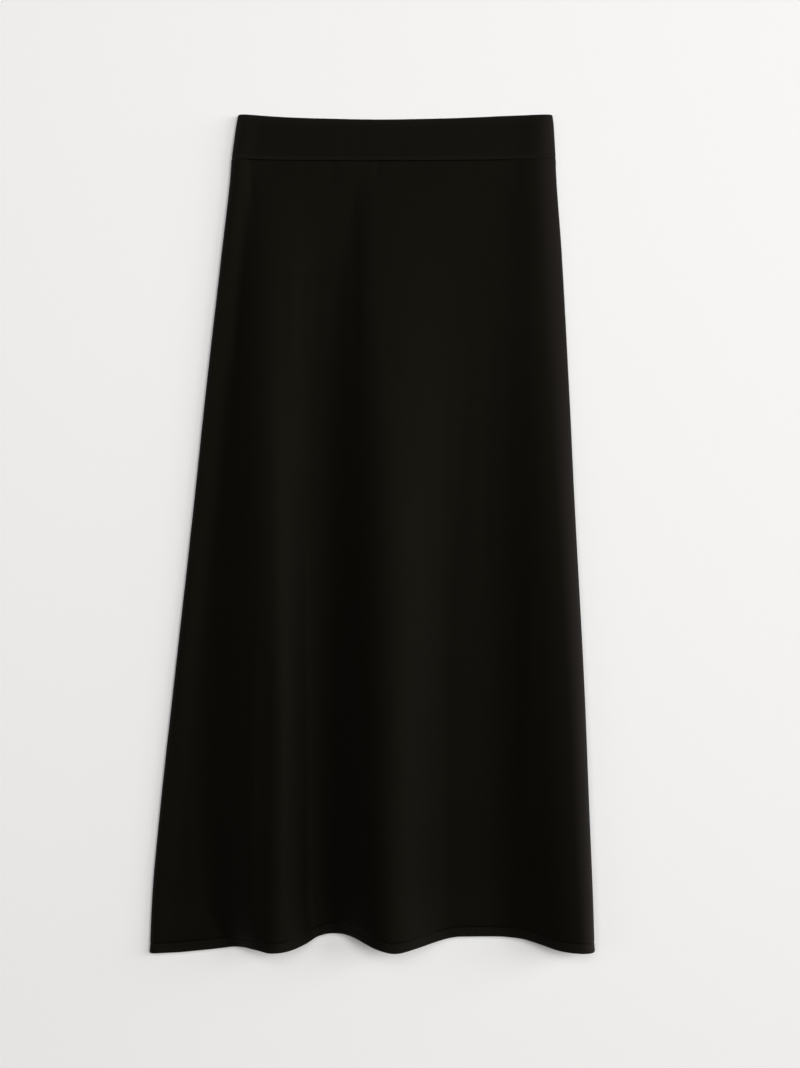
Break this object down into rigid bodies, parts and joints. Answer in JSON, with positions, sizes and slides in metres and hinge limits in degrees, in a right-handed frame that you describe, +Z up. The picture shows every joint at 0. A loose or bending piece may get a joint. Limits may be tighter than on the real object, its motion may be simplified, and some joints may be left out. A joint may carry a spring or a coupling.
{
  "type": "maxi skirt",
  "caption": "Long A-line skirt in fine black knit with a plain waistband, laid flat on its back, with soft long folds widening to a wavy turned-up hem",
  "frame": {"origin": "on the surface the skirt lies on, under the middle of its width and length", "axes": "+X across the skirt to the right as seen from above with the waist at the top, +Y from the hem to the waist, +Z up from the surface"},
  "size_m": [0.4858, 0.919, 0.0456],
  "materials": {
    "knit": "matte fine-gauge black knit, soft sheen on the folds",
    "band_knit": "matte fine-gauge black knit, doubled and a little firmer"
  },
  "bodies": {
    "root": {"front_panel": "knit", "back_panel": "knit", "waistband": "band_knit"}
  },
  "joints": []
}
